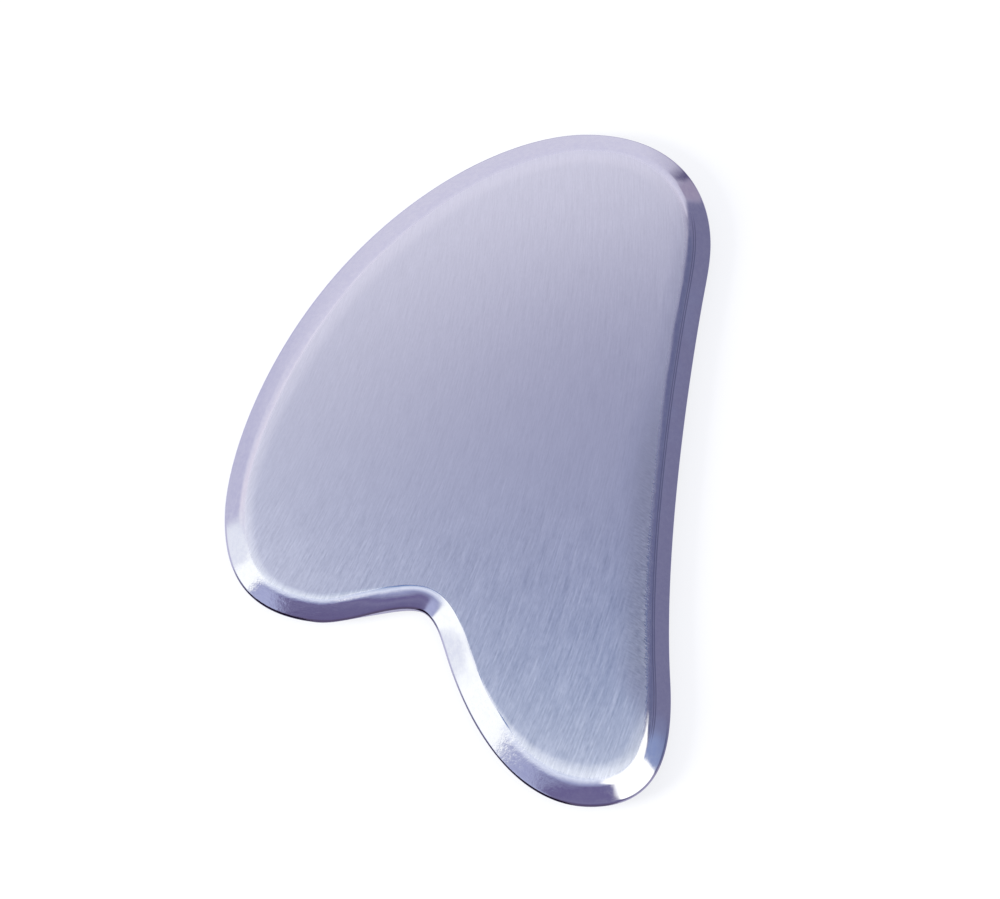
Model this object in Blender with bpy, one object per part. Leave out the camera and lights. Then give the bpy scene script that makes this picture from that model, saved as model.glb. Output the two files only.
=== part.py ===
"""A gua sha scraper: one solid plate of stainless steel.

The outline has a rounded crown, a slightly hollow blade side, a long heel lobe, a notch, a short
toe lobe and a full convex back. A bevel and a soft shoulder are ground round both faces, and they
meet in a thin rounded edge. The plate lies on its back face at z = 0. +Y points to the crown and
+X to the blade side.
"""

from math import cos, pi, radians, sin, tan
from typing import NamedTuple

import bmesh
import bpy
from mathutils import Vector
from mathutils.geometry import interpolate_bezier

MM = 0.001

PLATE_THICKNESS = 3.5 * MM
EDGE_RADIUS = 0.5 * MM
BEVEL_SLOPE = radians(35)
SHOULDER_RADIUS = 2.4 * MM

SPAN_STEPS = 16
EDGE_STEPS = 2
SHOULDER_STEPS = 3
SHARP_ANGLE = radians(40)

STEEL_COLOUR = (0.56, 0.57, 0.62, 1.0)
STEEL_ROUGHNESS = 0.3


class Knot(NamedTuple):
    """A point on the outline, which runs clockwise seen from above."""

    x_mm: float
    y_mm: float
    heading_deg: float
    reach_before_mm: float
    reach_after_mm: float
    rim_share: float


OUTLINE = {
    "crown": Knot(13.7, 42.0, 0, 9.6, 9.3, 1.2),
    "brow": Knot(28.2, 27.9, -90, 8.3, 2.7, 1.28),
    "blade_top": Knot(27.0, 19.4, -100, 3.2, 14.5, 1.2),
    "blade_foot": Knot(22.6, -26.9, -88, 13.5, 9.1, 1.2),
    "heel_tip": Knot(13.5, -42.0, -180, 7.6, 7.6, 1.18),
    "heel_flank": Knot(-2.3, -25.4, -252, 9.4, 2.8, 1.02),
    "notch": Knot(-5.2, -18.9, -213, 1.8, 2.7, 0.92),
    "toe_tip": Knot(-17.3, -20.0, -186, 3.3, 7.9, 0.88),
    "toe_side": Knot(-28.2, -6.9, -270, 7.7, 6.2, 1.02),
    "back": Knot(-18.9, 19.4, -303, 11.5, 17.1, 1.2),
}


class Station(NamedTuple):
    """A place on the outline, with the direction into the plate and the local share of the rim."""

    place: Vector
    inward: Vector
    rim_share: float


def heading_of(knot):
    angle = radians(knot.heading_deg)
    return Vector((cos(angle), sin(angle), 0))


def place_of(knot):
    return Vector((knot.x_mm, knot.y_mm, 0)) * MM


def span_places(start, end):
    """The places along one span, without its last one, which starts the next span."""
    leaving = place_of(start) + heading_of(start) * start.reach_after_mm * MM
    arriving = place_of(end) - heading_of(end) * end.reach_before_mm * MM
    return interpolate_bezier(place_of(start), leaving, arriving, place_of(end), SPAN_STEPS + 1)[:-1]


def span_rim_shares(start, end):
    """The rim's share eases from one knot's to the next one's."""
    shares = []
    for step in range(SPAN_STEPS):
        eased = (1 - cos(pi * step / SPAN_STEPS)) / 2
        shares.append(start.rim_share + (end.rim_share - start.rim_share) * eased)
    return shares


def outline_stations():
    knots = list(OUTLINE.values())
    places = []
    shares = []
    for start, end in zip(knots, knots[1:] + knots[:1]):
        places += span_places(start, end)
        shares += span_rim_shares(start, end)
    stations = []
    for index, place in enumerate(places):
        along = places[(index + 1) % len(places)] - places[index - 1]
        inward = Vector((along.y, -along.x, 0)).normalized()
        stations.append(Station(place, inward, shares[index]))
    return stations


def front_section():
    """Points (depth into the plate, height over its middle) from the edge to the flat face."""
    half_thickness = PLATE_THICKNESS / 2
    points = []
    for step in range(EDGE_STEPS + 1):
        turn = (pi / 2 - BEVEL_SLOPE) * step / EDGE_STEPS
        points.append((EDGE_RADIUS * (1 - cos(turn)), EDGE_RADIUS * sin(turn)))
    bevel_start_depth, bevel_start_height = points[-1]
    bevel_end_height = half_thickness - SHOULDER_RADIUS * (1 - cos(BEVEL_SLOPE))
    bevel_run = (bevel_end_height - bevel_start_height) / tan(BEVEL_SLOPE)
    face_depth = bevel_start_depth + bevel_run + SHOULDER_RADIUS * sin(BEVEL_SLOPE)
    for step in range(SHOULDER_STEPS + 1):
        slope = BEVEL_SLOPE * (1 - step / SHOULDER_STEPS)
        depth = face_depth - SHOULDER_RADIUS * sin(slope)
        height = half_thickness - SHOULDER_RADIUS * (1 - cos(slope))
        points.append((depth, height))
    return points


def whole_section():
    """The section from the back face's rim, round the edge, to the front face's rim."""
    front = front_section()
    back = [(depth, -height) for depth, height in reversed(front[1:])]
    return back + front


def add_ring(shape, stations, depth, height):
    ring = []
    for station in stations:
        place = station.place + station.inward * depth * station.rim_share
        place.z = height + PLATE_THICKNESS / 2
        ring.append(shape.verts.new(place))
    return ring


def join_rings(shape, lower, upper):
    for index, corner in enumerate(lower):
        previous = index - 1
        shape.faces.new((corner, lower[previous], upper[previous], upper[index]))


def plate_mesh():
    stations = outline_stations()
    shape = bmesh.new()
    rings = [add_ring(shape, stations, depth, height) for depth, height in whole_section()]
    for lower, upper in zip(rings, rings[1:]):
        join_rings(shape, lower, upper)
    shape.faces.new(rings[0])
    shape.faces.new(rings[-1])
    bmesh.ops.recalc_face_normals(shape, faces=shape.faces)
    mesh = bpy.data.meshes.new("scraper_plate")
    shape.to_mesh(mesh)
    shape.free()
    mesh.shade_smooth()
    mesh.set_sharp_from_angle(angle=SHARP_ANGLE)
    return mesh


def steel():
    material = bpy.data.materials.new("brushed_steel")
    material.use_nodes = True
    shader = material.node_tree.nodes["Principled BSDF"]
    shader.inputs["Base Color"].default_value = STEEL_COLOUR
    shader.inputs["Metallic"].default_value = 1.0
    shader.inputs["Roughness"].default_value = STEEL_ROUGHNESS
    return material


def clear_scene():
    for leftover in list(bpy.data.objects):
        bpy.data.objects.remove(leftover)


def build():
    clear_scene()
    mesh = plate_mesh()
    mesh.materials.append(steel())
    plate = bpy.data.objects.new("scraper_plate", mesh)
    bpy.context.scene.collection.objects.link(plate)


build()
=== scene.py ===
"""The looks of a gua sha scraper: a brushed steel plate with a polished, ground rim."""

from math import cos, e, pi, radians, sin, sqrt, tan
from typing import NamedTuple

import bmesh
import bpy
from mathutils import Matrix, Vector


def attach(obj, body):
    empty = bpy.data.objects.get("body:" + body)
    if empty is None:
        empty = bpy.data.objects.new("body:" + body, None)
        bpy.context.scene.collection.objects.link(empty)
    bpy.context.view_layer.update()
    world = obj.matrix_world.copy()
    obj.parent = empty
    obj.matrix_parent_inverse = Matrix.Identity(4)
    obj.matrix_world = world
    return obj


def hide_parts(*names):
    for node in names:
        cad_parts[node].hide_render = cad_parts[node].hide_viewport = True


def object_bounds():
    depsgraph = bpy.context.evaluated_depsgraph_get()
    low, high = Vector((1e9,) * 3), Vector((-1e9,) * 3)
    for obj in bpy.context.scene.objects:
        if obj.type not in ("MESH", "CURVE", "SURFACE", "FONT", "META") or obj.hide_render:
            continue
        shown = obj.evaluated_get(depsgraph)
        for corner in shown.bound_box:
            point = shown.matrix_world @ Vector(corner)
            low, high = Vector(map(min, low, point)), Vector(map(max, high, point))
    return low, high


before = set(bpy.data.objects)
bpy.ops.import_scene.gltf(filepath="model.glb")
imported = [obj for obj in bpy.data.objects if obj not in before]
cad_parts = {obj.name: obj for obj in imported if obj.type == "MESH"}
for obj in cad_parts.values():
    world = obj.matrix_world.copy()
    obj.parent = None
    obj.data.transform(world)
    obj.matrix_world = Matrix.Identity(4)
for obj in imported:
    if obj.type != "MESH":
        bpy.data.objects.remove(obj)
cad_low, cad_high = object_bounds()

MM = 0.001
NODE = "scraper_plate"

# ---------------------------------------------------------------- the plate's measures

# All the plate's lengths are in mm. Depths run from the outline into the plate, and heights are
# over its middle.
THICKNESS = (cad_high.z - cad_low.z) / MM
HALF = THICKNESS / 2
MIDDLE = (cad_high.z + cad_low.z) / 2
EDGE_RADIUS = 0.5


class Knot(NamedTuple):
    """A point on the outline, which runs clockwise seen from above, and the rim's sizes there.

    The rim's share scales its width, and the tail's run is how far its shoulder takes to go flat.
    """

    x: float
    y: float
    heading_deg: float
    reach_before: float
    reach_after: float
    rim_share: float
    tail_run: float


OUTLINE = {
    "crown": Knot(13.7, 42.0, 0, 9.6, 9.3, 1.2, 1.6),
    "brow": Knot(28.2, 27.9, -90, 8.3, 2.7, 1.28, 1.6),
    "blade_top": Knot(27.0, 19.4, -100, 3.2, 14.5, 1.2, 1.6),
    "blade_foot": Knot(22.6, -26.9, -88, 13.5, 9.1, 1.2, 1.3),
    "heel_tip": Knot(13.5, -42.0, -180, 7.6, 7.6, 1.18, 1.6),
    "heel_flank": Knot(-2.3, -25.4, -252, 9.4, 2.8, 1.02, 0.2),
    "notch": Knot(-5.2, -18.9, -213, 1.8, 2.7, 0.92, 0.3),
    "toe_tip": Knot(-17.3, -20.0, -186, 3.3, 7.9, 0.88, 0.9),
    "toe_side": Knot(-28.2, -6.9, -270, 7.7, 6.2, 1.02, 1.2),
    "back": Knot(-18.9, 19.4, -303, 11.5, 17.1, 1.2, 1.6),
}

# The bevel is ground slightly full, round a slope of 35 degrees, and fullest at the notch. The
# slope at its outer side is the same all round.
BEVEL_OUTER_SLOPE = radians(37)
BEVEL_INNER_SLOPE = radians(33)
NOTCH_INNER_SLOPE = radians(20)
# The edge is blunter at the notch: half the height of its straight part.
NOTCH_BLUNTNESS = 0.3
NOTCH_PLACE = Vector((-8.6, -18.9))
NOTCH_REACH = (0.5, 5.0)
# Where the polish on the two lobes is mottled: the middle of each patch, and its reach.
MOTTLED_PLACES = ((Vector((-21.5, -18.0)), 11.0), (Vector((6.0, -38.0)), 8.0))
# The shoulder turns from the bevel to a few degrees, and a tail takes it to flat. The tail is long
# where the shoulder is soft, and short where it ends in a crisp line.
SHOULDER_RADIUS = 2.0
TAIL_SLOPE = radians(7)
# Where the polished rim gives way to the brushed face, and over what width. The border is soft
# where the tail is longer than the first of these runs, and crisp where it is shorter than the
# second.
CRISP_TAIL_RUNS = (1.2, 0.4)
SOFT_BORDER = (2.1, 0.45)
CRISP_BORDER = (2.56, 0.1)
BLADE_BORDER = (1.72, 0.75)
# The blade side is where the rim's inward direction points this much to -X.
BLADE_INWARD_X = -0.8
# Its long tail fades in and out down the plate, and so do its two fine machined lines.
BLADE_TAIL_RUN = 4.2
BLADE_TAIL_FROM = (12.0, -5.0)
BLADE_TAIL_TO = (-25.0, -33.0)
LINES_FROM = (32.0, 28.5)
LINES_TO = (-32.0, -36.5)
LINE_DEPTHS = (1.44, 1.63)
LINE_HALF_WIDTH = 0.075
LINE_CUT = 0.012

# How finely the mesh follows the outline and the section. The lines have their own rings.
STATION_SPACING = 0.4
SPAN_STATIONS_LEAST = 8
EDGE_STEPS = 8
EDGE_FLAT = 0.01
BEVEL_RING_GAP = 0.1
LINE_RING_GAP = 0.025
SHOULDER_RING_GAP = 0.06
LINE_RINGS = (1.35, 1.72)
SHOULDER_RINGS_END = 2.9
TAIL_STEPS = 9
TAIL_RUN_LEAST = 0.4
FLAT_MARGIN = 0.3

# ---------------------------------------------------------------- outline


def heading(angle):
    """The direction at this angle, in degrees."""
    return Vector((cos(radians(angle)), sin(radians(angle))))


class Span:
    """A smooth curve from one knot to the next, with a guiding point near each."""

    def __init__(self, start, end):
        self.start = Vector((start.x, start.y))
        self.leaving = self.start + heading(start.heading_deg) * start.reach_after
        self.end = Vector((end.x, end.y))
        self.arriving = self.end - heading(end.heading_deg) * end.reach_before

    def place(self, share):
        rest = 1 - share
        return (
            self.start * rest**3
            + 3 * self.leaving * rest * rest * share
            + 3 * self.arriving * rest * share * share
            + self.end * share**3
        )

    def direction(self, share):
        rest = 1 - share
        slope = (
            3 * (self.leaving - self.start) * rest * rest
            + 6 * (self.arriving - self.leaving) * rest * share
            + 3 * (self.end - self.arriving) * share * share
        )
        return slope.normalized()

    def rough_length(self):
        """The mean of the way through the two guiding points and the straight way."""
        through = (self.leaving - self.start).length
        through += (self.arriving - self.leaving).length
        through += (self.end - self.arriving).length
        return (through + (self.end - self.start).length) / 2


def ease(value, start, end):
    """0 at start, 1 at end, smooth between. The two may come in either order."""
    share = min(1.0, max(0.0, (value - start) / (end - start)))
    return share * share * (3 - 2 * share)


def between(first, second, share):
    return first + (second - first) * share


class Station:
    """A place on the outline, and what the rim is like there."""

    def __init__(self, place, inward, rim_share, tail_run):
        self.place = place
        self.inward = inward
        self.rim_share = rim_share
        on_blade = 1.0 if inward.x < BLADE_INWARD_X and place.x > 0 else 0.0
        tail = ease(place.y, *BLADE_TAIL_FROM) * (1 - ease(place.y, *BLADE_TAIL_TO))
        self.blade = on_blade * tail
        self.lined = on_blade * ease(place.y, *LINES_FROM) * (1 - ease(place.y, *LINES_TO))
        self.tail_run = between(tail_run, BLADE_TAIL_RUN, self.blade)
        notched = 1 - ease((place - NOTCH_PLACE).length, *NOTCH_REACH)
        self.inner_slope = between(BEVEL_INNER_SLOPE, NOTCH_INNER_SLOPE, notched)
        self.bluntness = NOTCH_BLUNTNESS * notched
        mottling = [ease((place - middle).length, reach, 0.0) for middle, reach in MOTTLED_PLACES]
        self.mottled = max(mottling)
        crisp = ease(tail_run, *CRISP_TAIL_RUNS)
        border = [between(soft, sharp, crisp) for soft, sharp in zip(SOFT_BORDER, CRISP_BORDER)]
        border = [between(plain, blade, self.blade) for plain, blade in zip(border, BLADE_BORDER)]
        self.border, self.border_width = border


def span_stations(start, end):
    """The stations from one knot to the next, without the last one, which starts the next span."""
    span = Span(start, end)
    steps = max(SPAN_STATIONS_LEAST, round(span.rough_length() / STATION_SPACING))
    stations = []
    for step in range(steps):
        share = step / steps
        along = span.direction(share)
        inward = Vector((along.y, -along.x))
        eased = (1 - cos(pi * share)) / 2
        rim_share = between(start.rim_share, end.rim_share, eased)
        tail_run = between(start.tail_run, end.tail_run, eased)
        stations.append(Station(span.place(share), inward, rim_share, tail_run))
    return stations


def outline_stations():
    """Stations all round the outline, clockwise from the crown."""
    knots = list(OUTLINE.values())
    stations = []
    for start, end in zip(knots, knots[1:] + knots[:1]):
        stations += span_stations(start, end)
    return stations


# ---------------------------------------------------------------- section


class Section:
    """The rim's section at a station."""

    def __init__(self, station):
        self.tail_run = station.tail_run
        self.inner_slope = station.inner_slope
        self.bluntness = station.bluntness
        self.drop = self.tail_run * tan(TAIL_SLOPE) / 2
        self.edge_end = EDGE_RADIUS * (1 - sin(BEVEL_OUTER_SLOPE))
        self.edge_height = self.bluntness + EDGE_RADIUS * cos(BEVEL_OUTER_SLOPE)
        top = HALF - self.drop - SHOULDER_RADIUS * (cos(TAIL_SLOPE) - cos(self.inner_slope))
        slopes = tan(BEVEL_OUTER_SLOPE) + tan(self.inner_slope)
        self.bevel_run = 2 * (top - self.edge_height) / slopes
        self.bevel_end = self.edge_end + self.bevel_run
        self.centre = self.bevel_end + SHOULDER_RADIUS * sin(self.inner_slope)
        self.shoulder_end = self.centre - SHOULDER_RADIUS * sin(TAIL_SLOPE)
        self.tail_end = self.shoulder_end + self.tail_run

    def height(self, depth):
        if depth <= self.edge_end:
            return self.bluntness + sqrt(EDGE_RADIUS**2 - (EDGE_RADIUS - depth) ** 2)
        if depth <= self.bevel_end:
            run = depth - self.edge_end
            flattening = (tan(BEVEL_OUTER_SLOPE) - tan(self.inner_slope)) / (2 * self.bevel_run)
            return self.edge_height + run * tan(BEVEL_OUTER_SLOPE) - flattening * run**2
        if depth <= self.shoulder_end:
            base = HALF - self.drop - SHOULDER_RADIUS * cos(TAIL_SLOPE)
            return base + sqrt(SHOULDER_RADIUS**2 - (self.centre - depth) ** 2)
        if depth < self.tail_end:
            left = 1 - (depth - self.shoulder_end) / self.tail_run
            return HALF - self.drop * left**2
        return HALF


def line_cut(depth):
    """How deep the machined lines go at this depth into the rim."""
    cut = 0.0
    for line in LINE_DEPTHS:
        off = abs(depth - line) / LINE_HALF_WIDTH
        if off < 1:
            cut += LINE_CUT * (1 + cos(pi * off)) / 2
    return cut


def steps_between(start, end, gap):
    """Even steps of about this gap, without the start and with the end."""
    count = max(1, round((end - start) / gap))
    return [start + (end - start) * step / count for step in range(1, count + 1)]


def shared_ring_depths():
    """Ring depths that are the same at every station, from the edge's tip inward."""
    turns = [(pi / 2 - BEVEL_OUTER_SLOPE) * step / EDGE_STEPS for step in range(EDGE_STEPS + 1)]
    depths = [EDGE_RADIUS * (1 - cos(turn)) for turn in turns]
    depths += steps_between(depths[-1], LINE_RINGS[0], BEVEL_RING_GAP)
    depths += steps_between(LINE_RINGS[0], LINE_RINGS[1], LINE_RING_GAP)
    depths += steps_between(LINE_RINGS[1], SHOULDER_RINGS_END, SHOULDER_RING_GAP)
    return depths


def front_points(station):
    """(depth, height) from the edge's tip to the flat face."""
    section = Section(station)
    depths = shared_ring_depths()
    tail_end = max(section.tail_end, depths[-1] + TAIL_RUN_LEAST)
    depths += steps_between(depths[-1], tail_end, (tail_end - depths[-1]) / TAIL_STEPS)
    depths.append(tail_end + FLAT_MARGIN)
    points = [(depth, section.height(depth) - station.lined * line_cut(depth)) for depth in depths]
    return [(0.0, max(points[0][1], EDGE_FLAT))] + points[1:]


# ---------------------------------------------------------------- mesh

# What each point of the mesh knows about itself: its depth into the rim, how far it is into the
# brushed border, and how much it is on the blade side, on a machined line and on a mottled patch.
POINT_VALUES = ("rim_depth", "brushed", "blade", "line", "mottled")
# Its place on a tube that is as long round as the outline, for patterns that follow the rim.
POINT_PLACE = "rim_place"


def turns_round(stations):
    """Each station's angle on a circle that is as long as the outline, and the circle's radius."""
    travelled = 0.0
    travels = []
    for index, station in enumerate(stations):
        travels.append(travelled)
        following = stations[(index + 1) % len(stations)]
        travelled += (following.place - station.place).length
    radius = travelled / (2 * pi)
    return [travel / radius for travel in travels], radius


def add_column(shape, layers, station, turn, radius):
    """The section's points at one station, from the back face to the front face."""
    front = front_points(station)
    back = [(depth, -height) for depth, height in reversed(front)]
    column = []
    for depth, height in back + front:
        at = station.place + station.inward * depth * station.rim_share
        vert = shape.verts.new((at.x * MM, at.y * MM, height * MM + MIDDLE))
        vert[layers["rim_depth"]] = depth
        vert[layers["brushed"]] = (depth - station.border) / station.border_width
        vert[layers["blade"]] = station.blade
        vert[layers["mottled"]] = station.mottled
        vert[layers["line"]] = station.lined * line_cut(depth) / LINE_CUT
        vert[layers[POINT_PLACE]] = (radius * cos(turn), radius * sin(turn), depth)
        column.append(vert)
    return column


def add_faces(shape, columns):
    """The strips between neighbouring columns, and the two flat faces."""
    for index, column in enumerate(columns):
        before = columns[index - 1]
        for row in range(len(column) - 1):
            shape.faces.new((column[row], before[row], before[row + 1], column[row + 1]))
    shape.faces.new([column[0] for column in columns])
    shape.faces.new([column[-1] for column in columns])
    bmesh.ops.recalc_face_normals(shape, faces=shape.faces)


def plate_mesh():
    stations = outline_stations()
    turns, radius = turns_round(stations)
    shape = bmesh.new()
    layers = {name: shape.verts.layers.float.new(name) for name in POINT_VALUES}
    layers[POINT_PLACE] = shape.verts.layers.float_vector.new(POINT_PLACE)
    columns = []
    for station, turn in zip(stations, turns):
        columns.append(add_column(shape, layers, station, turn, radius))
    add_faces(shape, columns)
    mesh = bpy.data.meshes.new("scraper_steel")
    shape.to_mesh(mesh)
    shape.free()
    mesh.shade_smooth()
    return mesh


# ---------------------------------------------------------------- helpers


def opaque(colour):
    return (*colour, 1)


def add_object(name, data):
    added = bpy.data.objects.new(name, data)
    bpy.context.scene.collection.objects.link(added)
    return added


def square_mesh(name, half):
    mesh = bpy.data.meshes.new(name)
    corners = [(-half, -half, 0), (half, -half, 0), (half, half, 0), (-half, half, 0)]
    mesh.from_pydata(corners, [], [(0, 1, 2, 3)])
    return mesh


def new_material(name):
    material = bpy.data.materials.new(name)
    material.use_nodes = True
    return material


# A mix node's two inputs and its output, by the kind of value it mixes.
MIX_SOCKETS = {"FLOAT": (2, 3, 0), "RGBA": (6, 7, 2)}


class Nodes:
    """Short words for building a node tree."""

    def __init__(self, tree):
        self.tree = tree
        tree.nodes.clear()

    def add(self, kind, **settings):
        node = self.tree.nodes.new(kind)
        for name, value in settings.items():
            setattr(node, name, value)
        return node

    def feed(self, socket, value):
        if isinstance(value, bpy.types.NodeSocket):
            self.tree.links.new(value, socket)
        else:
            socket.default_value = value

    def math(self, operation, *values):
        node = self.add("ShaderNodeMath", operation=operation)
        for socket, value in zip(node.inputs, values):
            self.feed(socket, value)
        return node.outputs[0]

    def vector(self, operation, *values):
        node = self.add("ShaderNodeVectorMath", operation=operation)
        for socket, value in zip(node.inputs, values):
            self.feed(socket, value)
        return node.outputs["Value" if operation in ("DISTANCE", "LENGTH") else "Vector"]

    def scaled(self, vector, factor):
        node = self.add("ShaderNodeVectorMath", operation="SCALE")
        self.feed(node.inputs[0], vector)
        self.feed(node.inputs["Scale"], factor)
        return node.outputs[0]

    def split(self, vector):
        node = self.add("ShaderNodeSeparateXYZ")
        self.feed(node.inputs[0], vector)
        return node.outputs

    def combine(self, x, y, z):
        node = self.add("ShaderNodeCombineXYZ")
        for socket, value in zip(node.inputs, (x, y, z)):
            self.feed(socket, value)
        return node.outputs[0]

    def along(self, x, y, direction):
        """How far (x, y) lies along a direction."""
        x_part = self.math("MULTIPLY", x, direction[0])
        y_part = self.math("MULTIPLY", y, direction[1])
        return self.math("ADD", x_part, y_part)

    def ramp(self, value, low, high, to_low=0.0, to_high=1.0, smooth=True):
        kind = "SMOOTHSTEP" if smooth else "LINEAR"
        node = self.add("ShaderNodeMapRange", interpolation_type=kind)
        names = ("Value", "From Min", "From Max", "To Min", "To Max")
        for name, number in zip(names, (value, low, high, to_low, to_high)):
            self.feed(node.inputs[name], number)
        return node.outputs["Result"]

    def mix(self, factor, first, second, kind="RGBA"):
        """A mix of two values, which are colours unless the kind says otherwise."""
        first_input, second_input, output = MIX_SOCKETS[kind]
        node = self.add("ShaderNodeMix", data_type=kind)
        self.feed(node.inputs[0], factor)
        self.feed(node.inputs[first_input], first)
        self.feed(node.inputs[second_input], second)
        return node.outputs[output]

    def blend(self, factor, first, second):
        """A mix of two numbers."""
        return self.mix(factor, first, second, kind="FLOAT")

    def attribute(self, name, output="Fac"):
        return self.add("ShaderNodeAttribute", attribute_name=name).outputs[output]

    def noise(self, place, pitches, detail=2.0, roughness=0.5):
        """Noise whose grain is 1 / pitch long each way."""
        stretched = [self.math("MULTIPLY", value, pitch) for value, pitch in zip(place, pitches)]
        node = self.add("ShaderNodeTexNoise", noise_dimensions="3D")
        self.feed(node.inputs["Vector"], self.combine(*stretched))
        self.feed(node.inputs["Scale"], 1.0)
        self.feed(node.inputs["Detail"], detail)
        self.feed(node.inputs["Roughness"], roughness)
        return node.outputs["Fac"]

    def relief(self, noise, depth):
        """A height of this depth from a noise, evenly above and below 0."""
        return self.math("MULTIPLY_ADD", noise, depth, -depth / 2)


# ---------------------------------------------------------------- steel

# The brush swings in wide spirals round a pivot, off the plate's upper left.
PIVOT = (-85.0, 98.6)
PIVOT_DISTANCE = 130.0
SPIRAL_ANGLE = radians(122.8)

# Grain pitches, in lines per mm across the brush, along it and from layer to layer, and each
# grain's share.
GRAINS = (((6.2, 0.32, 1), 0.5), ((5.4, 1.6, 1), 0.3), ((1.8, 0.13, 1), 0.2))
# The deeper scratches are where a noise of their own, in another layer, is highest.
SCRATCH_PITCH = (3.6, 0.12, 1)
SCRATCH_LAYER = 19.0
SCRATCH_LEVELS = (0.68, 0.78)
# The grain gets coarser towards the two lobes, down the plate, and its colour contrast grows there
# as painted light, for grazing light showing the grain more.
COARSE_AND_PAINTED_CONTRAST_RANGE = (6.0, -22.0)

# The strokes by the blade side run across it, down to the right. Their pitches are along the
# side and across it.
STROKE_LEAN = 0.6
STROKE_PITCH = (4.5, 1.4, 1.0)
# They get stronger down the plate, from this least share of their strength.
STROKES_RANGE = (0.0, -14.0)
STROKES_LEAST = 0.35
# Their zone starts and ends at these depths into the plate, and is painted a little darker there,
# as painted shade.
ZONE_START = (1.7, 2.0)
ZONE_END = (2.6, 5.2)
ZONE_PAINTED_SHADE = 0.84
# How ragged the brushed face's border is, off the blade side and on it.
RAGGEDNESS = (0.1, 0.6)

# Pitches on the rim: along it (twice) and into it.
GRIND_PITCH = (0.5, 0.5, 9.0)
WAVE_PITCH = (0.22, 0.22, 0.5)
MOTTLE_PITCH = (1.6, 1.6, 2.6)

# The range of the grain that takes the face from its dark colour to its light one.
SHADE_LEVELS = (0.3, 0.7)
FACE_DARK = (0.50, 0.51, 0.54, 1)
FACE_LIGHT = (0.78, 0.79, 0.82, 1)
SCRATCH_COLOUR = (0.8, 0.81, 0.84, 1)
RIM_DARK = (0.60, 0.60, 0.65, 1)
RIM_LIGHT = (0.64, 0.64, 0.67, 1)
# The machined lines are painted darker: painted shade in their grooves.
LINE_PAINTED_SHADE = (0.36, 0.36, 0.42, 1)
# The rim's colour and roughness follow these levels of its mottling.
RIM_COLOUR_LEVELS = (0.3, 0.7)
RIM_ROUGHNESS_LEVELS = (0.35, 0.7)
RIM_ROUGHNESS = (0.07, 0.13)
FACE_ROUGHNESS_LEVELS = (0.2, 0.8)
FACE_ROUGHNESS = (0.28, 0.34)
ANISOTROPY = 0.6
# Strengths where the grain is fine and where it is coarse. The higher shade contrast down the
# plate is painted light.
SHADE_CONTRAST = (0.4, 0.9)
SCRATCH_STRENGTH = (0.1, 0.6)
GRAIN_STRENGTH = (0.6, 1.2)

# Noises and shades run from 0 to 1, round this middle.
HALFWAY = 0.5
# Bump depths in mm.
GRAIN_DEPTH = 0.014
STROKE_DEPTH = 0.016
GRIND_DEPTH = 0.002
WAVE_DEPTH = 0.05
MOTTLE_DEPTH = 0.032


def brush_coordinates(n, x, y):
    """Distance across and along the brush lines in mm, and the direction across them."""
    from_pivot = (n.math("SUBTRACT", x, PIVOT[0]), n.math("SUBTRACT", y, PIVOT[1]))
    away = n.combine(*from_pivot, 0.0)
    log_distance = n.math("LOGARITHM", n.vector("LENGTH", away), e)
    angle = n.math("ARCTAN2", from_pivot[1], from_pivot[0])
    cot = cos(SPIRAL_ANGLE) / sin(SPIRAL_ANGLE)
    scale = PIVOT_DISTANCE * sin(SPIRAL_ANGLE)
    across = n.math("SUBTRACT", log_distance, n.math("MULTIPLY", angle, cot))
    across = n.math("MULTIPLY", across, scale)
    along = n.math("ADD", angle, n.math("MULTIPLY", log_distance, cot))
    along = n.math("MULTIPLY", along, scale)
    turn = n.add("ShaderNodeVectorRotate", rotation_type="Z_AXIS")
    n.feed(turn.inputs["Vector"], n.vector("NORMALIZE", away))
    turn.inputs["Angle"].default_value = SPIRAL_ANGLE - pi / 2
    return across, along, turn.outputs[0]


def brushed_grain(n, across, along):
    """The brush grain, about 0 to 1, and its few deeper scratches, 0 to 1."""
    grain = 0.0
    for pitches, share in GRAINS:
        noise = n.noise((across, along, 0.0), pitches, roughness=0.6)
        grain = n.math("MULTIPLY_ADD", noise, share, grain)
    scratches = n.noise((across, along, SCRATCH_LAYER), SCRATCH_PITCH, detail=1.0)
    return grain, n.ramp(scratches, *SCRATCH_LEVELS)


def blade_strokes(n, x, y):
    """The short strokes by the blade side, and how strong they are at this height."""
    leaning = n.math("MULTIPLY_ADD", x, STROKE_LEAN, y)
    strokes = n.noise((leaning, x, 0.0), STROKE_PITCH, detail=3.0, roughness=0.6)
    return strokes, n.ramp(y, *STROKES_RANGE, STROKES_LEAST, 1.0)


def blade_zone(n):
    """1 on the part of the face, along the blade side, that is brushed across the edge and painted
    a little darker as shade.
    """
    depth = n.attribute("rim_depth")
    zone = n.math("MULTIPLY", n.ramp(depth, *ZONE_START), n.ramp(depth, *ZONE_END, 1.0, 0.0))
    return n.math("MULTIPLY", zone, n.attribute("blade"))


def brushed_share(n, strokes, stroked):
    """1 on the brushed face and 0 on the polished rim, with a ragged border at the blade side."""
    raggedness = n.ramp(n.attribute("blade"), 0.0, 1.0, *RAGGEDNESS)
    raggedness = n.math("MULTIPLY", stroked, raggedness)
    ragged = n.math("MULTIPLY", n.math("SUBTRACT", strokes, HALFWAY), raggedness)
    return n.ramp(n.math("ADD", n.attribute("brushed"), ragged), 0.0, 1.0)


def rim_noises(n):
    """The fine grinding along the rim, its slow waves and its mottling."""
    around = n.split(n.attribute(POINT_PLACE, "Vector"))
    grinding = n.noise(around, GRIND_PITCH, roughness=0.6)
    waves = n.noise(around, WAVE_PITCH, detail=1.0)
    mottle = n.noise(around, MOTTLE_PITCH, detail=3.0, roughness=0.65)
    return grinding, waves, mottle


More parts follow.
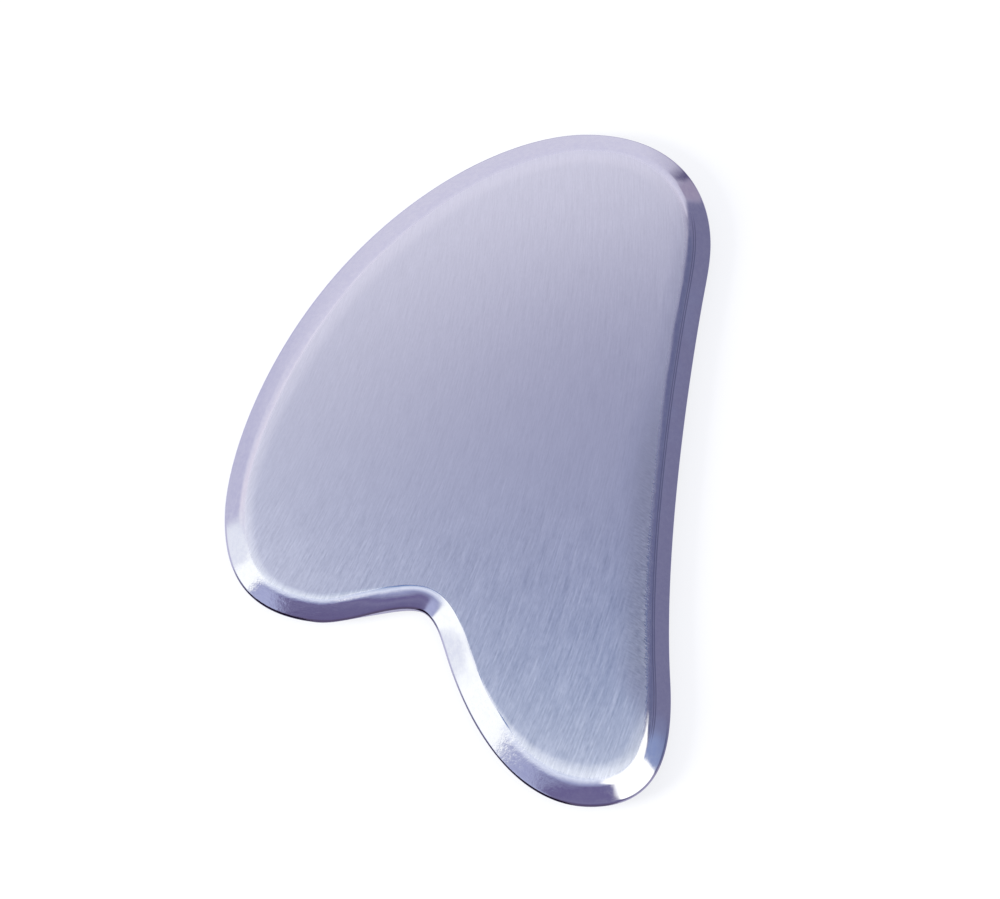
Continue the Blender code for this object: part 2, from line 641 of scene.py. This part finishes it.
def face_shade(n, grain, strokes, zone, stroked, coarse_and_painted_contrast):
    """The light and dark of the brushed face, 0 to 1."""
    shade = n.ramp(n.blend(zone, grain, strokes), *SHADE_LEVELS, smooth=False)
    # The shade contrast grows down the plate as painted light.
    contrast = n.ramp(coarse_and_painted_contrast, 0.0, 1.0, *SHADE_CONTRAST)
    contrast = n.math("MAXIMUM", contrast, n.math("MULTIPLY", zone, stroked))
    return n.math("MULTIPLY_ADD", n.math("SUBTRACT", shade, HALFWAY), contrast, HALFWAY)


def face_colour(n, shade, scratches, zone, coarse_and_painted_contrast):
    colour = n.mix(shade, FACE_DARK, FACE_LIGHT)
    scratches = n.math("MULTIPLY", scratches, n.ramp(coarse_and_painted_contrast, 0.0, 1.0, *SCRATCH_STRENGTH))
    colour = n.mix(scratches, colour, SCRATCH_COLOUR)
    # The blade zone's colour is scaled down: painted shade.
    return n.mix(zone, colour, n.scaled(colour, ZONE_PAINTED_SHADE))


def face_height(n, grain, strokes, zone, coarse_and_painted_contrast):
    """The relief of the brushed face, in mm."""
    strength = n.ramp(coarse_and_painted_contrast, 0.0, 1.0, *GRAIN_STRENGTH)
    height = n.math("MULTIPLY", n.math("SUBTRACT", grain, HALFWAY), strength)
    height = n.math("MULTIPLY", height, GRAIN_DEPTH)
    return n.blend(zone, height, n.relief(strokes, STROKE_DEPTH))


def rim_height(n, grinding, waves, mottle):
    """The relief of the polished rim, in mm."""
    height = n.math("ADD", n.relief(grinding, GRIND_DEPTH), n.relief(waves, WAVE_DEPTH))
    mottling = n.math("MULTIPLY", n.relief(mottle, MOTTLE_DEPTH), n.attribute("mottled"))
    return n.math("ADD", height, mottling)


def bumped(n, height):
    """The normal, from a height in mm."""
    bump = n.add("ShaderNodeBump")
    bump.inputs["Distance"].default_value = MM
    n.feed(bump.inputs["Height"], height)
    return bump.outputs[0]


def steel_material():
    material = new_material("brushed_steel_ground_rim")
    n = Nodes(material.node_tree)
    where = n.add("ShaderNodeTexCoord").outputs["Object"]
    x, y, _ = n.split(n.scaled(where, 1 / MM))
    across, along, across_direction = brush_coordinates(n, x, y)
    grain, scratches = brushed_grain(n, across, along)
    strokes, stroked = blade_strokes(n, x, y)
    grinding, waves, mottle = rim_noises(n)
    zone = blade_zone(n)
    brushed = brushed_share(n, strokes, stroked)
    coarse_and_painted_contrast = n.ramp(y, *COARSE_AND_PAINTED_CONTRAST_RANGE)

    shade = face_shade(n, grain, strokes, zone, stroked, coarse_and_painted_contrast)
    on_face = face_colour(n, shade, scratches, zone, coarse_and_painted_contrast)
    on_rim = n.mix(n.ramp(mottle, *RIM_COLOUR_LEVELS), RIM_DARK, RIM_LIGHT)
    colour = n.mix(brushed, on_rim, on_face)
    face_rough = n.ramp(shade, *FACE_ROUGHNESS_LEVELS, *FACE_ROUGHNESS, smooth=False)
    rim_rough = n.ramp(mottle, *RIM_ROUGHNESS_LEVELS, *RIM_ROUGHNESS)
    rim = rim_height(n, grinding, waves, mottle)
    face = face_height(n, grain, strokes, zone, coarse_and_painted_contrast)

    shader = n.add("ShaderNodeBsdfPrincipled")
    shader.inputs["Metallic"].default_value = 1.0
    shader.inputs["Anisotropic"].default_value = ANISOTROPY
    # Painted shade darkens the machined lines' grooves.
    n.feed(shader.inputs["Base Color"], n.mix(n.attribute("line"), colour, LINE_PAINTED_SHADE))
    n.feed(shader.inputs["Roughness"], n.blend(brushed, rim_rough, face_rough))
    n.feed(shader.inputs["Normal"], bumped(n, n.blend(brushed, rim, face)))
    n.feed(shader.inputs["Tangent"], across_direction)
    out = n.add("ShaderNodeOutputMaterial")
    n.feed(out.inputs["Surface"], shader.outputs[0])
    return material


def build_plate():
    mesh = plate_mesh()
    mesh.materials.append(steel_material())
    plate = add_object("scraper_steel", mesh)
    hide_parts(NODE)
    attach(plate, "root")


# ---------------------------------------------------------------- studio sky

# The sky is drawn on a flat chart: straight up is (0, 0), the horizon is the circle of radius 1,
# +X on the chart is +X and +Y is +Y. Colours are radiances.
# Chart y and colour of the studio's walls, from the front to the back.
WALLS = (
    (-0.6, (0.19, 0.16, 0.34)),
    (-0.5, (0.22, 0.20, 0.39)),
    (-0.44, (0.27, 0.25, 0.45)),
    (-0.37, (0.21, 0.18, 0.39)),
    (-0.31, (0.36, 0.37, 0.60)),
    (-0.25, (0.45, 0.48, 0.76)),
    (-0.2, (0.62, 0.66, 0.92)),
    (-0.04, (1.1, 1.17, 1.36)),
    (0.1, (0.76, 0.85, 1.10)),
    (0.15, (0.68, 0.75, 1.0)),
    (0.22, (1.11, 1.06, 1.2)),
    (0.27, (1.11, 1.05, 1.2)),
    (0.36, (0.98, 0.96, 1.15)),
    (0.5, (0.95, 0.93, 1.12)),
    (1.2, (0.95, 0.93, 1.10)),
)
# Below the horizon the walls give way to this glow of the floor, between these heights.
FLOOR_GLOW = (0.6, 0.58, 0.78)
FLOOR_GLOW_RANGE = (-0.1, -0.3)
# The chart stops short of straight down, where it would be endless.
CHART_LIFT_LEAST = 0.05


class Panel(NamedTuple):
    """A convex panel on the chart: its corners, anticlockwise, its edges' softness, its colour."""

    corners: tuple
    softness: float
    colour: tuple


# Each panel hides the ones before it.
PANELS = {
    "left_low": Panel(
        ((-1.0, 0.0), (-3, 0.3), (-3, -0.7), (-1.0, -0.36)),
        0.12,
        (0.2, 0.19, 0.3),
    ),
    "front_dark": Panel(
        ((-0.72, -0.46), (-1.1, -0.36), (-3, -0.6), (-3, -4), (1.3, -4), (0.45, -0.95)),
        0.1,
        (0.15, 0.12, 0.22),
    ),
    "front_black": Panel(
        ((-0.72, -0.46), (-1.1, -0.36), (-3, -0.6), (-3, -4), (-0.9, -4), (-0.3, -0.9)),
        0.1,
        (0.015, 0.01, 0.03),
    ),
    "left_wall": Panel(
        ((-3, 0.0), (-0.52, 0.0), (-0.52, 3), (-3, 3)),
        0.25,
        (0.78, 0.77, 1.0),
    ),
    "left_front": Panel(
        ((-0.34, -0.26), (-1.0, -0.2), (-1.0, -0.45), (-0.34, -0.6)),
        0.14,
        (0.6, 0.64, 0.95),
    ),
    "left_scrim": Panel(
        ((-0.2, 0.28), (-0.12, 0.18), (-0.03, 0.22), (-0.1, 0.33)),
        0.09,
        (1.18, 1.15, 1.3),
    ),
    "right_wall": Panel(
        ((0.46, -0.4), (3, -0.4), (3, 3), (0.46, 3)),
        0.55,
        (0.42, 0.38, 0.56),
    ),
    "dark_gap": Panel(
        ((0.11, 0.14), (0.7, -0.04), (3, -0.3), (3, 2.6), (0.24, 0.27)),
        0.08,
        (0.27, 0.265, 0.44),
    ),
    "gap_shade": Panel(
        ((0.2, 0.12), (0.42, 0.08), (0.46, 0.24), (0.24, 0.27)),
        0.08,
        (0.2, 0.215, 0.38),
    ),
    "brow_dark": Panel(
        ((0.40, 0.64), (0.47, 0.61), (1.2, 1.5), (0.9, 1.7)),
        0.09,
        (0.16, 0.14, 0.28),
    ),
    "brow_pink": Panel(
        ((0.42, 0.46), (0.5, 0.48), (0.8, 0.8), (0.62, 0.82), (0.4, 0.54)),
        0.06,
        (0.49, 0.43, 0.6),
    ),
    "right_blue": Panel(
        ((0.45, -0.1), (0.625, -0.1), (0.625, 0.14), (0.45, 0.14)),
        0.14,
        (0.38, 0.47, 0.78),
    ),
    "right_navy": Panel(
        ((0.64, -0.12), (0.9, -0.2), (0.9, 0.16), (0.64, 0.16)),
        0.1,
        (0.12, 0.15, 0.3),
    ),
    "right_skirt": Panel(
        ((0.3, -0.52), (0.6, -0.62), (0.8, -0.32), (0.66, -0.16), (0.4, -0.3)),
        0.05,
        (0.8, 0.8, 0.92),
    ),
    "right_softbox": Panel(
        (
            (0.05, 0.155),
            (0.06, -0.2),
            (0.2, -0.4),
            (0.3, -0.5),
            (0.46, -0.47),
            (0.64, -0.25),
            (0.62, -0.12),
            (0.27, 0.165),
        ),
        0.03,
        (1.9, 1.9, 1.85),
    ),
    "left_softbox": Panel(
        ((-0.1, 0.16), (-0.8, 0.28), (-0.8, -0.36), (-0.6, -0.24), (-0.1, 0.07)),
        0.07,
        (1.2, 1.24, 1.34),
    ),
    "left_softbox_core": Panel(
        ((-0.09, 0.16), (-0.8, -0.03), (-0.8, -0.36), (-0.6, -0.24), (-0.09, 0.08)),
        0.06,
        (1.6, 1.64, 1.6),
    ),
}


def panel_share(n, chart_x, chart_y, panel):
    """1 inside the panel and 0 outside it, soft across its edges."""
    share = 1.0
    following = panel.corners[1:] + panel.corners[:1]
    for (x0, y0), (x1, y1) in zip(panel.corners, following):
        length = sqrt((x1 - x0) ** 2 + (y1 - y0) ** 2)
        inward = (-(y1 - y0) / length, (x1 - x0) / length)
        edge = x0 * inward[0] + y0 * inward[1]
        start, end = edge - panel.softness / 2, edge + panel.softness / 2
        inside = n.ramp(n.along(chart_x, chart_y, inward), start, end)
        share = n.math("MULTIPLY", share, inside)
    return share


def build_sky():
    world = bpy.data.worlds.new("studio")
    bpy.context.scene.world = world
    world.use_nodes = True
    n = Nodes(world.node_tree)
    x, y, z = n.split(n.add("ShaderNodeTexCoord").outputs["Generated"])
    lift = n.math("MAXIMUM", n.math("ADD", z, 1.0), CHART_LIFT_LEAST)
    chart_x = n.math("DIVIDE", x, lift)
    chart_y = n.math("DIVIDE", y, lift)
    colour = opaque(WALLS[0][1])
    for (start, _), (end, wall) in zip(WALLS, WALLS[1:]):
        colour = n.mix(n.ramp(chart_y, start, end, smooth=False), colour, opaque(wall))
    colour = n.mix(n.ramp(z, *FLOOR_GLOW_RANGE), colour, opaque(FLOOR_GLOW))
    for panel in PANELS.values():
        colour = n.mix(panel_share(n, chart_x, chart_y, panel), colour, opaque(panel.colour))
    background = n.add("ShaderNodeBackground")
    n.feed(background.inputs["Color"], colour)
    out = n.add("ShaderNodeOutputWorld")
    n.feed(out.inputs["Surface"], background.outputs[0])


# ---------------------------------------------------------------- floor, backdrop and lamp

# The studio's lengths are in metres. The floor is pale and glows, and the plate doesn't mirror it.
FLOOR_HALF = 2.0
FLOOR_COLOUR = (0.15, 0.15, 0.15, 1)
FLOOR_ROUGHNESS = 0.9
FLOOR_EMISSION = (0.97, 0.98, 1, 1)
FLOOR_EMISSION_STRENGTH = 0.79

# A plain white wall stands round the floor, behind the plate in low views. Nothing mirrors it.
BACKDROP_RADIUS = 1.9
BACKDROP_HEIGHT = 3.0
BACKDROP_SIDES = 48

# A low lamp on the left gives the floor its faint shadow. The steel doesn't mirror it.
LAMP_DISTANCE = 0.8
LAMP_ELEVATION = radians(25)
LAMP_TURN = radians(18)
LAMP_SIZE = 0.3
LAMP_POWER = 13.0


def build_floor():
    mesh = square_mesh("floor", FLOOR_HALF)
    floor = add_object("floor", mesh)
    material = new_material("floor_white")
    shader = material.node_tree.nodes["Principled BSDF"]
    shader.inputs["Base Color"].default_value = FLOOR_COLOUR
    shader.inputs["Roughness"].default_value = FLOOR_ROUGHNESS
    shader.inputs["Emission Color"].default_value = FLOOR_EMISSION
    shader.inputs["Emission Strength"].default_value = FLOOR_EMISSION_STRENGTH
    mesh.materials.append(material)
    floor.visible_glossy = False


def backdrop_mesh():
    mesh = bpy.data.meshes.new("backdrop")
    turns = [2 * pi * side / BACKDROP_SIDES for side in range(BACKDROP_SIDES)]
    ring = [(BACKDROP_RADIUS * cos(turn), BACKDROP_RADIUS * sin(turn)) for turn in turns]
    corners = [(x, y, 0) for x, y in ring] + [(x, y, BACKDROP_HEIGHT) for x, y in ring]
    sides = []
    for side in range(BACKDROP_SIDES):
        following = (side + 1) % BACKDROP_SIDES
        sides.append((side, following, following + BACKDROP_SIDES, side + BACKDROP_SIDES))
    mesh.from_pydata(corners, [], sides)
    return mesh


def build_backdrop():
    mesh = backdrop_mesh()
    backdrop = add_object("backdrop", mesh)
    material = new_material("backdrop_white")
    n = Nodes(material.node_tree)
    glow = n.add("ShaderNodeEmission")
    n.feed(n.add("ShaderNodeOutputMaterial").inputs["Surface"], glow.outputs[0])
    mesh.materials.append(material)
    backdrop.visible_glossy = False
    backdrop.visible_diffuse = False
    backdrop.visible_shadow = False


def build_lamp():
    data = bpy.data.lights.new("floor_lamp", "AREA")
    data.energy = LAMP_POWER
    data.size = LAMP_SIZE
    lamp = add_object("floor_lamp", data)
    reach = cos(LAMP_ELEVATION)
    direction = Vector((-reach * cos(LAMP_TURN), -reach * sin(LAMP_TURN), sin(LAMP_ELEVATION)))
    lamp.location = direction * LAMP_DISTANCE
    lamp.rotation_euler = direction.to_track_quat("Z", "Y").to_euler()
    lamp.visible_glossy = False


# ---------------------------------------------------------------- camera and card

# Lengths of the camera are in metres, but its sensor and lens are in mm.
CAMERA_ELEVATION = radians(67)
CAMERA_DISTANCE = 0.5
CAMERA_AIM = Vector((3.375, 1.311, 1.75)) * MM
CAMERA_CLIP = 0.01
CAMERA_SENSOR = 36.0
CAMERA_LENS = 155.88

# A dark card with soft edges hangs near the plate, where its flat face mirrors it. It makes the
# face's long gradient. Its x is to the right and its y to the back, in mm from the mirror line.
CARD_DISTANCE = 0.13
CARD_HALF = 120.0
# Its glow changes from its back to its front, and again at its right.
CARD_GLOW_BACK = (0.03, 0.045, 0.29, 1)
CARD_GLOW_FRONT = (0.07, 0.22, 0.56, 1)
CARD_GLOW_CHANGE = (5.0, -46.0)
CARD_GLOW_RIGHT = (0.2, 0.21, 0.39, 1)
CARD_GLOW_RIGHT_CHANGE = (40.0, 58.0)
# It gets denser in this direction, in two stages: start, end, opacity gained.
CARD_FALL = (0.39, -0.92)
CARD_STAGES = ((-36.5, -4.5, 0.58), (8.0, 38.0, 0.37))
# It has a denser spot: middle, the reach of its full gain and of any, gain.
CARD_SPOT = (26.0, 12.0, 0.0)
CARD_SPOT_REACH = (2.0, 22.0)
CARD_SPOT_GAIN = 0.28
# It thins out past these lines: direction, start and end along it, what is left of it at the end.
CARD_FADES = (
    ((-1.0, 0.0), 18.0, 43.0, 0.62),
    ((0.0, -1.0), 49.0, 66.0, 0.0),
    ((-0.75, -0.66), 31.0, 42.0, 0.0),
    ((0.5, -0.87), 70.0, 88.0, 0.0),
)
# Its soft edge is between these distances from its middle. It reaches further to the right, by
# 1 over this share.
CARD_EDGE = (70.0, 89.0)
CARD_RIGHT_SHARE = 0.75


def card_opacity(n, x, y):
    fall = n.along(x, y, CARD_FALL)
    opacity = 0.0
    for start, end, gain in CARD_STAGES:
        opacity = n.math("ADD", opacity, n.ramp(fall, start, end, 0.0, gain))
    spot = n.vector("DISTANCE", n.combine(x, y, 0.0), CARD_SPOT)
    opacity = n.math("ADD", opacity, n.ramp(spot, *CARD_SPOT_REACH, CARD_SPOT_GAIN, 0.0))
    for direction, start, end, remainder in CARD_FADES:
        fade = n.ramp(n.along(x, y, direction), start, end, 1.0, remainder)
        opacity = n.math("MULTIPLY", opacity, fade)
    to_right = n.math("MULTIPLY", x, CARD_RIGHT_SHARE)
    to_left = n.math("MULTIPLY", x, -1.0)
    reach = n.combine(n.math("MAXIMUM", to_right, to_left), y, 0.0)
    inside = n.ramp(n.vector("LENGTH", reach), *CARD_EDGE, 1.0, 0.0)
    return n.math("MULTIPLY", opacity, inside)


def card_glow(n, x, y):
    glow = n.add("ShaderNodeEmission")
    colour = n.mix(n.ramp(y, *CARD_GLOW_CHANGE), CARD_GLOW_BACK, CARD_GLOW_FRONT)
    colour = n.mix(n.ramp(x, *CARD_GLOW_RIGHT_CHANGE), colour, CARD_GLOW_RIGHT)
    n.feed(glow.inputs["Color"], colour)
    return glow.outputs[0]


def build_card():
    mesh = square_mesh("dark_card", CARD_HALF * MM)
    card = add_object("dark_card", mesh)
    mirrored = Vector((0, cos(CAMERA_ELEVATION), sin(CAMERA_ELEVATION)))
    card.location = mirrored * CARD_DISTANCE
    card.rotation_euler = (CAMERA_ELEVATION - pi / 2, 0, 0)
    material = new_material("dark_card")
    n = Nodes(material.node_tree)
    x, y, _ = n.split(n.add("ShaderNodeTexCoord").outputs["Object"])
    x = n.math("DIVIDE", x, MM)
    y = n.math("DIVIDE", y, MM)
    mixed = n.add("ShaderNodeMixShader")
    n.feed(mixed.inputs[0], card_opacity(n, x, y))
    n.feed(mixed.inputs[1], n.add("ShaderNodeBsdfTransparent").outputs[0])
    n.feed(mixed.inputs[2], card_glow(n, x, y))
    n.feed(n.add("ShaderNodeOutputMaterial").inputs["Surface"], mixed.outputs[0])
    mesh.materials.append(material)
    card.visible_camera = False
    card.visible_diffuse = False
    card.visible_shadow = False


def build_camera():
    data = bpy.data.cameras.new("camera")
    data.sensor_width = CAMERA_SENSOR
    data.lens = CAMERA_LENS
    data.clip_start = CAMERA_CLIP
    camera = add_object("camera", data)
    back = Vector((0, -cos(CAMERA_ELEVATION), sin(CAMERA_ELEVATION)))
    camera.location = CAMERA_AIM + back * CAMERA_DISTANCE
    camera.rotation_euler = (pi / 2 - CAMERA_ELEVATION, 0, 0)
    bpy.context.scene.camera = camera


build_plate()
build_floor()
build_backdrop()
build_lamp()
build_card()
build_sky()
build_camera()
bpy.context.scene.view_settings.view_transform = "Standard"
